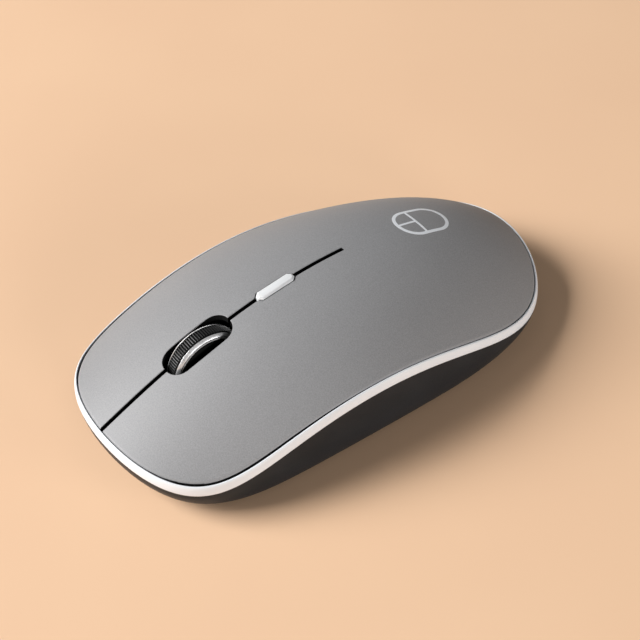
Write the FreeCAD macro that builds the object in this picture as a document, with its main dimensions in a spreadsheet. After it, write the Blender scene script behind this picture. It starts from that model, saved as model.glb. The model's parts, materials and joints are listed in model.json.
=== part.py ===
import FreeCAD, Part
import math
import os
import re
import Sketcher
from FreeCAD import Rotation, Vector

# Slim wireless computer mouse, millimetres.
# Origin on the desk under the middle of the outline; +Z up, +Y towards the tail (the palm end),
# -Y towards the nose (the cable-less front), +X towards the user's left hand side.

os.makedirs("parts", exist_ok=True)
doc = FreeCAD.newDocument("mouse")

DIMENSIONS = {
    # outline of the cover, seen from above
    "half_length": 55.2, "cover_width": 57.0,
    "taper_1": 0.018, "taper_2": -0.036, "taper_3": 0.018,
    "nose_power": 7.9, "tail_power": 4.5,
    # crest heights along the middle, and how far the cover drops from the crest to the rim
    "crest_1": 11.2, "crest_2": 20.3, "crest_3": 26.05, "crest_4": 27.4, "crest_5": 23.6,
    "crest_6": 11.1,
    "drop_1": 6.6, "drop_2": 8.8, "drop_3": 9.5, "drop_4": 11.8, "drop_5": 15.0, "drop_6": 17.6,
    "station_2": -34.0, "station_3": -12.0, "station_4": 10.0, "station_5": 32.0,
    # casing
    "cover_wall": 1.6, "key_side_gap": 0.4, "palm_side_gap": 0.1, "slit_width": 0.95,
    "flexure_place": 7.5, "flexure_gap": 0.3,
    "rim_height": 2.4, "rim_flare": 0.8, "rim_lip": 0.15, "rim_shoulder": 0.62,
    "rim_shoulder_drop": 0.8,
    "shell_wall": 1.5, "shell_inset": 0.1, "side_inset": 1.6, "nose_inset": 8.0, "tail_inset": 10.6,
    "foot_height": 0.7, "rebate_depth": 3.7, "skirt_depth": 3.5, "skirt_wall": 1.1, "skirt_gap": 0.15,
    "key_post_width": 3.2, "boss_low": 6.1, "boss_radius": 2.5, "boss_bore_depth": 8.0,
    "bay_wall": 1.0, "bay_height": 12.5, "bay_rear_half_width": 9.5, "bay_rear_height": 9.5,
    "pivot_pad_width": 2.4, "pivot_pad_front": -0.2, "pivot_pad_rear": 3.8, "pivot_pad_height": 3.2,
    "window_length": 6.4, "window_width": 8.0,
    # scroll wheel
    "well_place": -30.6, "well_length": 16.0, "well_width": 7.6, "well_corner": 3.4,
    "wheel_place": -29.0, "axle_height": 14.9, "tyre_radius": 8.8, "tyre_half_width": 1.4,
    "rib_count": 60, "rib_groove": 0.25, "rib_depth": 0.22,
    "ring_radius": 8.7, "ring_bore": 7.2, "ring_outer_face": 2.55,
    "axle_radius": 1.0, "axle_left": 8.3, "axle_right": 5.4, "bearing_clearance": 0.05,
    "hub_radius": 7.88,
    "cheek_inner": 3.3, "cheek_wall": 1.2, "cheek_front": -39.9, "cheek_rear": -16.4,
    "cheek_low": 8.0, "rail_height": 3.4, "tower_height": 8.4, "tower_length": 5.0, "cradle_bar": 1.4,
    "pivot_place": -17.9, "pivot_height": 9.4, "pivot_radius": 0.9, "pin_reach": 6.3,
    "encoder_low": 8.0, "encoder_height": 8.5, "encoder_length": 8.6, "encoder_thick": 3.4,
    "encoder_place": -27.2,
    "frame_leg_inner": 4.8, "frame_leg_wall": 2.0,
    # rocker button behind the wheel
    "button_place": -10.4, "button_length": 9.4, "button_width": 2.4, "button_proud": 0.55,
    "button_slot_length": 10.4, "button_slot_width": 2.9, "stem_place": -14.0, "stem_size": 1.6,
    # circuit board and what is on it
    "board_low": 4.4, "board_thick": 1.2, "board_front": -47.5, "board_rear": -1.5, "board_width": 44.0,
    "board_corner": 7.5, "board_notch_width": 6.6, "board_notch_front": -38.6,
    "board_notch_rear": -19.4,
    "switch_length": 12.8, "switch_width": 5.8, "switch_height": 6.5, "switch_side": 12.6,
    "switch_place": -35.4, "plunger_place": -33.5, "plunger_proud": 0.75, "plunger_size": 1.6,
    "tact_size": 6.0, "tact_side": 9.2, "tact_place": -25.9, "tact_height": 3.6,
    "tact_stem_radius": 1.6,
    "tact_stem_proud": 0.8, "tall_tact_size": 4.5, "tall_tact_height": 6.8,
    "tall_tact_stem_radius": 1.2,
    "tall_tact_proud": 1.2, "press_gap": 0.03,
    "plunger_root": 0.5, "plunger_well": 1.3, "plunger_clearance": 0.1,
    "chip_length": 9.8, "chip_width": 9.0, "chip_height": 2.4, "chip_place": -7.2,
    # cells, door and receiver
    "cell_radius": 5.2, "cell_length": 44.5, "cell_side": 5.4, "cell_height": 8.1, "cell_front": 1.4,
    "cell_nub_radius": 1.9, "cell_nub_length": 1.2, "contact_room": 2.5, "contact_thick": 0.4,
    "door_front": 0.6, "door_rear": 42.4, "door_half_width": 18.0, "door_gap": 0.15, "door_thick": 1.4,
    "door_front_corner": 1.0, "door_rear_corner": 10.0, "door_pivot_place": 1.75,
    "door_pivot_height": 1.75,
    "door_pin_radius": 0.55, "door_pin_reach": 1.2,
    "receiver_side": 14.4, "receiver_low": 2.8, "receiver_front": 10.0, "receiver_thick": 6.0,
    "receiver_head": 6.5, "receiver_width": 14.5, "plug_thick": 4.5, "plug_width": 12.0,
    "plug_length": 12.2,
    # fasteners and feet
    "screw_side": 21.5, "screw_place": 13.0, "screw_radius": 1.0, "screw_head_radius": 1.9,
    "screw_head_height": 1.5, "screw_length": 8.4, "screw_shelf": 4.6, "screw_well_radius": 3.3,
    "screw_well_height": 6.0, "screw_head_clearance": 0.3, "screw_shank_clearance": 0.15,
    "board_screw_side": 19.0, "board_screw_place": -24.0, "board_screw_head_radius": 1.8,
    "board_screw_head_height": 1.1, "board_screw_radius": 0.75, "board_screw_length": 2.7,
    "board_post_radius": 2.4, "board_post_bore": 0.8,
    "recess_length": 1.8, "recess_width": 0.4, "recess_depth": 0.6,
    "front_foot_place": -40.5, "front_foot_length": 5.0, "front_foot_width": 26.0,
    "rear_foot_place": 27.5, "rear_foot_side": 20.6, "rear_foot_length": 11.0, "rear_foot_width": 3.2,
    "knob_side": -14.0, "knob_place": -10.0, "knob_slot_length": 7.6, "knob_slot_width": 3.6,
    "knob_length": 4.8, "knob_width": 2.8, "knob_travel": 2.4,
}

sheet = doc.addObject("Spreadsheet::Sheet", "Dimensions")


def store(alias, number, row):
    """Write one driving dimension and its name into the sheet."""
    sheet.set(f"A{row}", alias)
    sheet.set(f"B{row}", str(number))
    sheet.setAlias(f"B{row}", alias)


for row, (alias, number) in enumerate(DIMENSIONS.items(), 1):
    store(alias, number, row)
doc.recompute()


def size(alias):
    """A dimension of the sheet as a number."""
    return float(sheet.get(alias))


def bound(text):
    """An expression in which every alias is looked up in the sheet."""
    def looked_up(match):
        word = match.group()
        return "Dimensions." + word if word in known_aliases else word
    return re.sub(r"[a-z][a-z_0-9]*", looked_up, str(text))


known_aliases = set(DIMENSIONS)

# ---------------------------------------------------------------- the mouse's free-form surfaces

HALF = size("half_length")
STATIONS = [-HALF] + [size(f"station_{k}") for k in range(2, 6)] + [HALF]
CRESTS = [size(f"crest_{k}") for k in range(1, 7)]
DROPS = [size(f"drop_{k}") for k in range(1, 7)]
OUTLINE_POINTS = 72
ROOT = 0.2  # how far a joined piece starts inside the piece it grows from


def through_stations(values, y):
    """The smooth polynomial that takes the given values at the six stations."""
    total = 0.0
    for i, value in enumerate(values):
        term = value
        for j, station in enumerate(STATIONS):
            if j != i:
                term *= (y - station) / (STATIONS[i] - station)
        total += term
    return total


def half_width(y):
    """Half the width that the outline would have with no rounding at its ends."""
    s = y / HALF
    taper = 1 + size("taper_1") * s + size("taper_2") * s ** 2 + size("taper_3") * s ** 3
    return size("cover_width") / 2 * taper


def fullness(y):
    """One along the middle of the mouse, falling to nothing at its nose and tail."""
    power = size("nose_power") if y < 0 else size("tail_power")
    return max(0.0, 1 - abs(y / HALF) ** power)


def cover_height(x, y):
    """Height of the top cover's outer surface."""
    return through_stations(CRESTS, y) - through_stations(DROPS, y) * (x / half_width(y)) ** 2


def outline(offset=0.0):
    """Points round the rim line, moved outwards by offset, with the rim's height at each."""
    rim = []
    for k in range(OUTLINE_POINTS):
        turn = 2 * math.pi * k / OUTLINE_POINTS
        y = -HALF * math.cos(turn)
        side = 1 if turn < math.pi else -1
        x = side * half_width(y) * math.sqrt(fullness(y))
        rim.append(Vector(x, y, through_stations(CRESTS, y) - through_stations(DROPS, y) * fullness(y)))
    moved = []
    for k, point in enumerate(rim):
        along = rim[(k + 1) % OUTLINE_POINTS] - rim[k - 1]
        outward = Vector(along.y, -along.x, 0).normalize()
        moved.append(point + outward * offset)
    return moved


def closed_wire(points):
    """A smooth closed curve through the points."""
    curve = Part.BSplineCurve()
    curve.interpolate(Points=points, PeriodicFlag=True)
    return Part.Wire([curve.toShape()])


def ring(offset, drop):
    """Closed curve that follows the rim line, offset outwards and lowered by drop."""
    return closed_wire([point - Vector(0, 0, drop) for point in outline(offset)])


def prism(offset, low=-5.0, high=45.0):
    """Upright solid with the outline, offset outwards, as its section."""
    flat = closed_wire([Vector(point.x, point.y, low) for point in outline(offset)])
    return Part.Face(flat).extrude(Vector(0, 0, high - low))


def cover_slab(low, high):
    """Solid between the cover's outer surface moved by low and by high."""
    columns, rows, reach = 15, 27, 1.04
    grid = []
    for i in range(columns):
        x = size("cover_width") / 2 * reach * (2 * i / (columns - 1) - 1)
        line = []
        for j in range(rows):
            y = HALF * reach * (2 * j / (rows - 1) - 1)
            line.append(Vector(x, y, cover_height(x, y) + low))
        grid.append(line)
    surface = Part.BSplineSurface()
    surface.interpolate(grid)
    return surface.toShape().extrude(Vector(0, 0, high - low))


def block(x_low, x_high, y_low, y_high, z_low, z_high):
    """Plain box between two corners, used to cut the free-form pieces."""
    corner = Vector(x_low, y_low, z_low)
    return Part.makeBox(x_high - x_low, y_high - y_low, z_high - z_low, corner)


def pill(length, width, corner, place, low, high):
    """Upright prism with a rounded rectangle as its section, centred on the mouse's middle."""
    solid = block(-width / 2, width / 2, place - length / 2, place + length / 2, low, high)
    upright = [edge for edge in solid.Edges if abs(edge.tangentAt(edge.FirstParameter).z) > 0.9]
    return solid.makeFillet(corner, upright)


def solid_from(faces):
    """One closed solid sewn from its faces."""
    shell = Part.makeShell(faces)
    shell.sewShape()
    solid = Part.Solid(Part.Shell(shell.Faces))
    if solid.Volume < 0:
        solid.reverse()
    return solid


# ---------------------------------------------------------------- bound features

parts = []


def place(item, x=0, y=0, z=0):
    """Bind where an object stands."""
    for axis, text in zip("xyz", (x, y, z)):
        item.setExpression("Placement.Base." + axis, bound(text))
    return item


def piece(item, name):
    """Give a finished sub-part its name and keep it for the export."""
    item.Label = name
    parts.append(item)
    return item


def shape_piece(name, shape):
    """A free-form sub-part whose shape is set directly."""
    item = doc.addObject("Part::Feature", name + "_shape")
    item.Shape = shape.removeSplitter()
    item.Placement = FreeCAD.Placement()
    return piece(item, name)


def box(name, dx, dy, dz, x, y, z):
    """Bound box, centred on x and y, standing on z."""
    item = doc.addObject("Part::Box", name)
    for side, text in (("Length", dx), ("Width", dy), ("Height", dz)):
        item.setExpression(side, bound(text))
    return place(item, f"{x} - ({dx}) / 2", f"{y} - ({dy}) / 2", z)


def cylinder(name, radius, height, x, y, z, along="z"):
    """Bound cylinder that starts at a point and runs along one axis."""
    item = doc.addObject("Part::Cylinder", name)
    item.setExpression("Radius", bound(radius))
    item.setExpression("Height", bound(height))
    if along == "x":
        item.Placement.Rotation = Rotation(Vector(0, 1, 0), 90)
    if along == "y":
        item.Placement.Rotation = Rotation(Vector(1, 0, 0), -90)
    return place(item, x, y, z)


def joined(name, items):
    """Several bound shapes made into one."""
    item = doc.addObject("Part::MultiFuse", name)
    item.Shapes = items
    return item


def less(name, base, tools):
    """A bound shape with others cut out of it."""
    item = doc.addObject("Part::Cut", name)
    item.Base = base
    item.Tool = tools[0] if len(tools) == 1 else joined(name + "_tools", tools)
    return item


def group(name, items):
    """Separate solids that share one node."""
    item = doc.addObject("Part::Compound", name + "_group")
    item.Links = items
    return piece(item, name)


def mirrored(name, source):
    """The same piece on the other side of the mouse's middle."""
    item = doc.addObject("Part::Mirroring", name)
    item.Source = source
    item.Normal = Vector(1, 0, 0)
    return item


def new_body(name):
    return doc.addObject("PartDesign::Body", name + "_body")


def sketch_on(body, role):
    """A sketch on one of the body's own origin planes."""
    sketch = body.newObject("Sketcher::SketchObject", body.Name + "_sketch")
    plane = [item for item in body.Origin.OriginFeatures if item.Role == role][0]
    sketch.AttachmentSupport = [(plane, "")]
    sketch.MapMode = "FlatFace"
    return sketch


def tie(sketch, geometry, point, x, y):
    """Hold one point of a sketch at bound distances from the sketch's origin."""
    for kind, text in (("DistanceX", x), ("DistanceY", y)):
        number = sketch.addConstraint(Sketcher.Constraint(kind, -1, 1, geometry, point, 1.0))
        sketch.setExpression(f"Constraints[{number}]", bound(text))


def polygon(sketch, corners):
    """Closed outline of straight lines through bound corners."""
    first = sketch.GeometryCount
    count = len(corners)
    start = [Vector(math.cos(2 * math.pi * k / count), math.sin(2 * math.pi * k / count), 0)
             for k in range(count)]
    for k in range(count):
        sketch.addGeometry(Part.LineSegment(start[k], start[(k + 1) % count]))
    for k in range(count):
        after = first + (k + 1) % count
        sketch.addConstraint(Sketcher.Constraint("Coincident", first + k, 2, after, 1))
    for k, (x, y) in enumerate(corners):
        tie(sketch, first + k, 1, x, y)


def rectangle(sketch, x_low, x_high, y_low, y_high):
    polygon(sketch, [(x_low, y_low), (x_high, y_low), (x_high, y_high), (x_low, y_high)])


def circle(sketch, x, y, radius):
    number = sketch.addGeometry(Part.Circle(Vector(0, 0, 0), Vector(0, 0, 1), 1.0))
    tie(sketch, number, 3, x, y)
    held = sketch.addConstraint(Sketcher.Constraint("Radius", number, 1.0))
    sketch.setExpression(f"Constraints[{held}]", bound(radius))


def pad(body, sketch, length, middle=False):
    """Extrude a sketch upwards, or equally to both sides of its plane."""
    feature = body.newObject("PartDesign::Pad", body.Name + "_pad")
    feature.Profile = sketch
    feature.setExpression("Length", bound(length))
    if middle:
        feature.SideType = "Symmetric"
    sketch.Visibility = False
    return feature


def pocket(body, sketch):
    """Cut a sketch's outline right through the body, upwards from its plane."""
    doc.recompute()
    before = body.Shape.Volume
    feature = body.newObject("PartDesign::Pocket", body.Name + "_pocket")
    feature.Profile = sketch
    feature.Type = "ThroughAll"
    feature.Reversed = True
    doc.recompute()
    if not body.Shape.Volume < before:
        raise RuntimeError(body.Name + ": a pocket cuts nothing")
    return feature


def revolve(body, sketch):
    """Turn a sketch once round the sketch's horizontal axis."""
    feature = body.newObject("PartDesign::Revolution", body.Name + "_turned")
    feature.Profile = sketch
    feature.ReferenceAxis = (sketch, ["H_Axis"])
    feature.Angle = 360
    return feature


def dress(body, kind, amount, chosen):
    """Fillet or chamfer the edges of the body that a test picks."""
    doc.recompute()
    base = body.Tip
    names = [f"Edge{k}" for k, edge in enumerate(base.Shape.Edges, 1) if chosen(edge)]
    feature = body.newObject("PartDesign::" + kind, f"{body.Name}_{kind}")
    feature.Base = (base, names)
    feature.setExpression("Radius" if kind == "Fillet" else "Size", bound(amount))
    doc.recompute()
    return feature


def upright(edge):
    return abs(edge.tangentAt(edge.FirstParameter).z) > 0.9


# ---------------------------------------------------------------- casing

def make_keys():
    """The two click keys: the front halves of the top cover, parted by the slit."""
    gap = size("flexure_gap") / 2
    wall = size("cover_wall")
    skin = cover_slab(-wall, 0).common(prism(-size("key_side_gap")))
    well = pill(size("well_length"), size("well_width"), size("well_corner"), size("well_place"), -5, 45)
    slot_width = size("button_slot_width")
    slot = pill(size("button_slot_length"), slot_width, slot_width / 4, size("button_place"), -5, 45)
    plunger_top = size("board_low") + size("board_thick") + size("switch_height") + size("plunger_proud")
    post_width = size("key_post_width")
    for name, side in (("left_key", 1), ("right_key", -1)):
        slit = size("slit_width") / 2
        low_x, high_x = sorted((side * slit, side * 40))
        half = block(low_x, high_x, -60, size("flexure_place") - gap, -5, 45)
        corner = Vector(side * size("switch_side") - post_width / 2,
                        size("plunger_place") - post_width / 2, plunger_top + size("press_gap"))
        post = Part.makeBox(post_width, post_width, 20, corner)
        post = post.common(cover_slab(-20, -wall / 2))
        shape_piece(name, skin.common(half).cut(well).cut(slot).fuse(post))


def make_palm():
    """Rear of the top cover, with the skirt that enters the bottom shell and two screw bosses."""
    wall = size("cover_wall")
    skin = cover_slab(-wall, 0).common(prism(-size("palm_side_gap")))
    outer = size("skirt_gap")
    skirt = prism(-outer).cut(prism(-outer - size("skirt_wall")))
    skirt = skirt.common(cover_slab(-size("skirt_depth"), -wall / 2))
    rear = block(-40, 40, size("flexure_place") + size("flexure_gap") / 2, 60, -5, 45)
    palm = skin.fuse(skirt).common(rear)
    for side in (1, -1):
        foot = Vector(side * size("screw_side"), size("screw_place"), size("boss_low"))
        boss = Part.makeCylinder(size("boss_radius"), 30, foot).common(cover_slab(-30, -wall / 2))
        bore = Part.makeCylinder(size("screw_radius"), size("boss_bore_depth"), foot)
        palm = palm.fuse(boss).cut(bore)
    shape_piece("palm_cover", palm)


def make_rim():
    """The pale trim band between cover and bottom shell, standing proud of both."""
    height, flare = size("rim_height"), size("rim_flare")
    section = [(0.0, 0.0), (size("rim_lip"), 0.0), (size("rim_shoulder"), size("rim_shoulder_drop")),
               (flare, height), (0.0, height)]
    rings = [ring(offset, drop) for offset, drop in section]
    faces = []
    for one, other in zip(rings, rings[1:] + rings[:1]):
        faces += Part.makeRuledSurface(one, other).Faces
    shape_piece("rim_band", solid_from(faces))


def hull_wires(inset, floor):
    """Rings from the flat floor up to the rim, each a level of a quarter ellipse."""
    levels = 8
    rim = outline(size("rim_flare") - size("shell_inset") - inset)
    width = size("cover_width") / 2
    wires = []
    for k in range(levels + 1):
        angle = math.pi / 2 * k / levels
        points = []
        for top in rim:
            s = top.y / HALF
            end_inset = size("nose_inset") + (size("tail_inset") - size("nose_inset")) * (1 + s) / 2
            base = Vector(top.x * (1 - size("side_inset") / width), top.y * (1 - end_inset / HALF), 0)
            lip = top.z - size("rim_height")
            points.append(Vector(base.x + (top.x - base.x) * math.sin(angle),
                                 base.y + (top.y - base.y) * math.sin(angle),
                                 floor + (lip - floor) * (1 - math.cos(angle))))
        wires.append(closed_wire(points))
    return wires


def make_shell():
    """Bottom shell: undercut hull and floor with a rebate for the cover's skirt, then its fittings."""
    wall, foot = size("shell_wall"), size("foot_height")
    floor = foot + wall
    outer, inner = hull_wires(0.0, foot), hull_wires(wall, floor)
    faces = Part.makeLoft(outer, False, False).Faces + Part.makeLoft(inner, False, False).Faces
    faces += [Part.Face(outer[0]), Part.Face(inner[0])]
    faces += Part.makeRuledSurface(outer[-1], inner[-1]).Faces
    rebate = prism(-size("skirt_gap") / 3).common(cover_slab(-size("rebate_depth"), 10))
    shell = solid_from(faces).cut(rebate)
    for fitting in (screw_posts, cell_bay, floor_openings):
        shell = fitting(shell, foot, floor)
    shape_piece("bottom_shell", shell)


def screw_posts(shell, foot, floor):
    """Sunk wells for the case screws and bored posts under the circuit board."""
    for side in (1, -1):
        well = Vector(side * size("screw_side"), size("screw_place"), foot)
        head_radius = size("screw_head_radius") + size("screw_head_clearance")
        shank_radius = size("screw_radius") + size("screw_shank_clearance")
        well_height = size("screw_well_height") - foot
        shell = shell.fuse(Part.makeCylinder(size("screw_well_radius"), well_height, well))
        shell = shell.cut(Part.makeCylinder(head_radius, size("screw_shelf") - foot, well))
        shell = shell.cut(Part.makeCylinder(shank_radius, size("screw_well_height"), well))
        post = Vector(side * size("board_screw_side"), size("board_screw_place"), floor - ROOT)
        post_height = size("board_low") - post.z
        shell = shell.fuse(Part.makeCylinder(size("board_post_radius"), post_height, post))
        bore = Vector(post.x, post.y, post.z + 2 * ROOT)
        shell = shell.cut(Part.makeCylinder(size("board_post_bore"), post_height, bore))
    return shell


def cell_bay(shell, foot, floor):
    """End walls of the cell bay, the opening for its door, and the pads that hold the door's pins."""
    wall = size("bay_wall")
    front = size("door_front") - ROOT
    rear = size("cell_front") + size("cell_length") + size("contact_room")
    half_front = size("cell_side") + size("cell_radius") + wall
    half_rear = size("bay_rear_half_width")
    shell = shell.fuse(block(-half_front, half_front, front - wall, front, floor - ROOT,
                             size("bay_height")))
    shell = shell.fuse(block(-half_rear, half_rear, rear, rear + wall, floor - ROOT,
                             size("bay_rear_height")))
    shell = shell.cut(door_prism(0.0, foot - 1, floor + ROOT))
    pin_radius = size("door_pin_radius") + size("bearing_clearance")
    for side in (1, -1):
        inner = side * size("door_half_width")
        pad_low, pad_high = sorted((inner, inner + side * size("pivot_pad_width")))
        shell = shell.fuse(block(pad_low, pad_high, size("pivot_pad_front"), size("pivot_pad_rear"),
                                 floor - ROOT, size("pivot_pad_height")))
        pin = Vector(inner - side, size("door_pivot_place"), size("door_pivot_height"))
        depth = 1 + size("door_pin_reach") + ROOT
        shell = shell.cut(Part.makeCylinder(pin_radius, depth, pin, Vector(side, 0, 0)))
    return shell


def floor_openings(shell, foot, floor):
    """Windows in the floor for the sensor and for the power knob."""
    for x, y, length, width in ((0, size("chip_place"), size("window_length"), size("window_width")),
                                (size("knob_side"), size("knob_place"), size("knob_slot_length"),
                                 size("knob_slot_width"))):
        shell = shell.cut(block(x - width / 2, x + width / 2, y - length / 2, y + length / 2,
                                foot - 1, floor + ROOT))
    return shell


def door_prism(gap, low, high):
    """The battery door's outline, drawn in by a gap, between two heights."""
    half = size("door_half_width") - gap
    front, rear = size("door_front") + gap, size("door_rear") - gap
    solid = block(-half, half, front, rear, low, high)
    middle = (front + rear) / 2
    at_rear = [edge for edge in solid.Edges if upright(edge) and edge.CenterOfMass.y > middle]
    solid = solid.makeFillet(size("door_rear_corner"), at_rear)
    at_front = [edge for edge in solid.Edges if upright(edge) and edge.CenterOfMass.y < front + ROOT]
    return solid.makeFillet(size("door_front_corner"), at_front)


def make_door():
    """Battery door, flush in the floor, turning on two pins at its front corners."""
    half = "(door_half_width - door_gap)"
    front, rear = "(door_front + door_gap)", "(door_rear - door_gap)"
    body = new_body("battery_door")
    sketch = sketch_on(body, "XY_Plane")
    rectangle(sketch, f"-{half}", half, front, rear)
    pad(body, sketch, "door_thick")
    middle = (size("door_front") + size("door_rear")) / 2
    dress(body, "Fillet", "door_rear_corner", lambda edge: upright(edge) and edge.CenterOfMass.y > middle)
    dress(body, "Fillet", "door_front_corner", lambda edge: upright(edge) and edge.CenterOfMass.y < middle)
    dress(body, "Chamfer", "door_thick * 0.45", is_low_front_edge)
    dress(body, "Chamfer", "door_thick * 0.2", is_high_front_edge)
    place(body, 0, 0, "foot_height + 0.05")
    pins = []
    for name, side in (("left_door_pin", 1), ("right_door_pin", -1)):
        start = "door_half_width - 2.2" if side > 0 else "-door_half_width - door_pin_reach"
        pins.append(cylinder(name, "door_pin_radius", "2.2 + door_pin_reach", start, "door_pivot_place",
                             "door_pivot_height", "x"))
        pins.append(box(name + "_root", "1.6", "1.6", "0.9", f"{side} * (door_half_width - 1.6)",
                        "door_pivot_place + 0.2", "foot_height + door_thick - 0.35"))
    grip = box("door_grip", "9", "2", "0.6", "0", "door_rear - 3.5", "foot_height - 0.1")
    piece(less("battery_door_final", joined("door_with_pins", [body] + pins), [grip]), "battery_door")


def is_low_front_edge(edge):
    """The door's lower front edge with its corners, which swings past the edge of the opening."""
    limits = edge.BoundBox
    corner_end = size("door_front") + size("door_gap") + size("door_front_corner")
    return limits.ZMax < 0.01 and limits.YMax < corner_end + 0.01


def is_high_front_edge(edge):
    """The door's upper front edge, which swings up under the cells."""
    limits = edge.BoundBox
    at_front = limits.YMax < size("door_front") + size("door_gap") + 0.01
    return at_front and limits.ZMin > size("door_thick") - 0.01 and limits.XLength > 5


def make_feet():
    """Three slippery pads that the mouse glides on."""
    pads = []
    for name, wide, deep in (("front_foot", "front_foot_width", "front_foot_length"),
                             ("rear_foot", "rear_foot_width", "rear_foot_length")):
        body = new_body(name)
        sketch = sketch_on(body, "XY_Plane")
        rectangle(sketch, f"-{wide} / 2", f"{wide} / 2", f"-{deep} / 2", f"{deep} / 2")
        pad(body, sketch, "foot_height")
        dress(body, "Fillet", "1.4", upright)
        pads.append(body)
    place(pads[0], 0, "front_foot_place", 0)
    place(pads[1], "rear_foot_side", "rear_foot_place", 0)
    group("glide_feet", pads + [mirrored("other_rear_foot", pads[1])])


def make_frame():
    """Black frame under the keys: bezel round the wheel well, ribs under the slit, four legs."""
    low, high = -3.7, -2.8
    length, width, corner, middle = 26.0, 15.0, 5.0, -29.0
    front, rear = middle - length / 2, middle + length / 2
    frame = pill(length, width, corner, middle, -5, 45).common(cover_slab(low, high))
    frame = frame.cut(pill(size("well_length") + 2.8, size("well_width") + 0.8, size("well_corner"),
                           size("well_place") + 0.6, -5, 45))
    board_top = size("board_low") + size("board_thick")
    leg_inner = size("frame_leg_inner")
    leg_outer = leg_inner + size("frame_leg_wall")
    rail_inner, rail_outer, rail_end = 2.2, 3.4, -3.5
    rail_band = cover_slab(-4.9, -3.1)
    for side in (1, -1):
        x_low, x_high = sorted((side * leg_inner, side * leg_outer))
        for y_low, y_high in ((front + 1.2, front + 3.4), (rear - 3.6, rear)):
            leg = block(x_low, x_high, y_low, y_high, board_top, 40)
            frame = frame.fuse(leg.common(cover_slab(-30, low + ROOT)))
        x_low, x_high = sorted((side * rail_inner, side * rail_outer))
        rail = block(x_low, x_high, rear - 1.5, rail_end, -5, 45)
        frame = frame.fuse(rail.common(rail_band))
    cross_bar = block(-rail_outer, rail_outer, rail_end - 1.2, rail_end, -5, 45)
    frame = frame.fuse(cross_bar.common(rail_band))
    rib, bay_clear = 0.7, size("bay_height") + 0.1
    nose_rib = block(-rib, rib, -53, front + 0.5, -5, 45).common(cover_slab(-6.0, high))
    palm_rib = block(-rib, rib, rail_end - 0.5, size("flexure_place") - 0.5, bay_clear, 45)
    frame = frame.fuse(nose_rib).fuse(palm_rib.common(cover_slab(-30, high)))
    hole = Part.makeCylinder(size("pivot_radius") + size("bearing_clearance"), 20,
                             Vector(-10, size("pivot_place"), size("pivot_height")), Vector(1, 0, 0))
    shape_piece("centre_frame", frame.cut(hole))


def make_wheel():
    """Scroll wheel: hub with its axle, ribbed tyre and a bright ring on each side."""
    hub = new_body("scroll_hub")
    sketch = sketch_on(hub, "XY_Plane")
    tyre, flange = "tyre_half_width", "(ring_outer_face - 0.35)"
    polygon(sketch, [("-axle_left", "0"), ("axle_right", "0"), ("axle_right", "axle_radius"),
                     (flange, "axle_radius"), (flange, "ring_bore"), (tyre, "ring_bore"),
                     (tyre, "hub_radius"), (f"-{tyre}", "hub_radius"), (f"-{tyre}", "ring_bore"),
                     (f"-{flange}", "ring_bore"), (f"-{flange}", "axle_radius"),
                     ("-axle_left", "axle_radius")])
    revolve(hub, sketch)
    piece(place(hub, 0, "wheel_place", "axle_height"), "scroll_hub")

    band = new_body("scroll_tyre")
    sketch = sketch_on(band, "XY_Plane")
    polygon(sketch, [(f"-{tyre}", "hub_radius"), (tyre, "hub_radius"), (tyre, "tyre_radius - 0.25"),
                     (f"{tyre} - 0.3", "tyre_radius"), (f"0.3 - {tyre}", "tyre_radius"),
                     (f"-{tyre}", "tyre_radius - 0.25")])
    revolve(band, sketch)
    sketch = sketch_on(band, "YZ_Plane")
    rectangle(sketch, "-rib_groove / 2", "rib_groove / 2", "tyre_radius - rib_depth", "tyre_radius + 1")
    doc.recompute()
    groove = band.newObject("PartDesign::Pocket", "tyre_groove")
    groove.Profile = sketch
    groove.Type = "ThroughAll"
    groove.SideType = "Symmetric"
    pattern = band.newObject("PartDesign::PolarPattern", "tyre_grooves")
    pattern.Originals = [groove]
    pattern.Axis = ([item for item in band.Origin.OriginFeatures if item.Role == "X_Axis"][0], [""])
    pattern.Angle = 360
    pattern.setExpression("Occurrences", bound("rib_count"))
    band.Tip = pattern
    piece(place(band, 0, "wheel_place", "axle_height"), "scroll_tyre")

    trim = new_body("scroll_ring")
    sketch = sketch_on(trim, "XY_Plane")
    outer = "ring_outer_face"
    polygon(sketch, [(tyre, "ring_bore"), (f"{outer} - 0.2", "ring_bore"), (outer, "ring_bore + 0.25"),
                     (outer, "ring_radius - 0.5"), (f"{outer} - 0.45", "ring_radius"),
                     (tyre, "ring_radius")])
    revolve(trim, sketch)
    place(trim, 0, "wheel_place", "axle_height")
    group("scroll_rings", [trim, mirrored("other_scroll_ring", trim)])


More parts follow.
